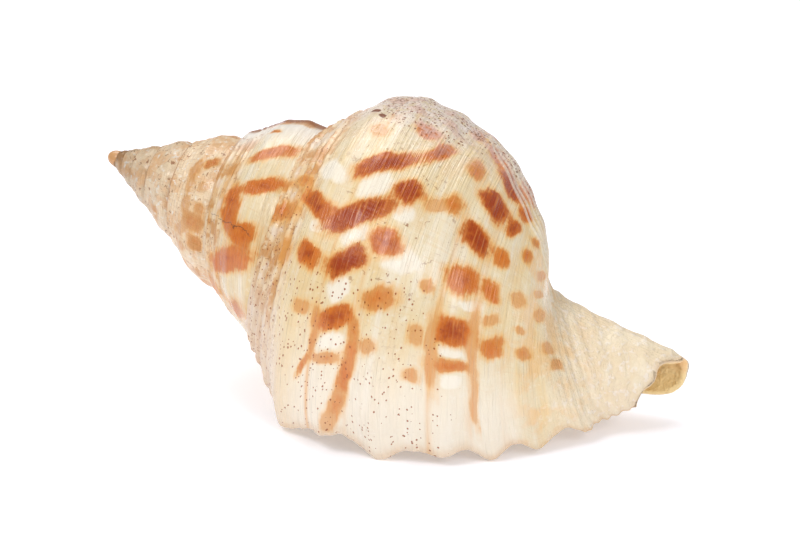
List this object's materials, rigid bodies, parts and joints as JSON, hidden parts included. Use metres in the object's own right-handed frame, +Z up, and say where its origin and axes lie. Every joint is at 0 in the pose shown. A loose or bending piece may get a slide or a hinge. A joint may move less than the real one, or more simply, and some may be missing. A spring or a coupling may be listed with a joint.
{
  "type": "conch shell",
  "caption": "Empty spiral sea snail shell with a pointed spire, a swollen last whorl, a wide scalloped lip and a short open canal, lying on its aperture.",
  "frame": {"origin": "on the surface the shell rests on, under the middle of its box", "axes": "+Z up; -Y towards the side of the outer lip, which is the pictured side; the apex points to -X, a little to +Y and up, and the canal to +X"},
  "size_m": [0.1741, 0.1121, 0.0886],
  "materials": {
    "shell_aragonite": "glossy"
  },
  "bodies": {
    "root": {"shell": "shell_aragonite"}
  },
  "joints": []
}
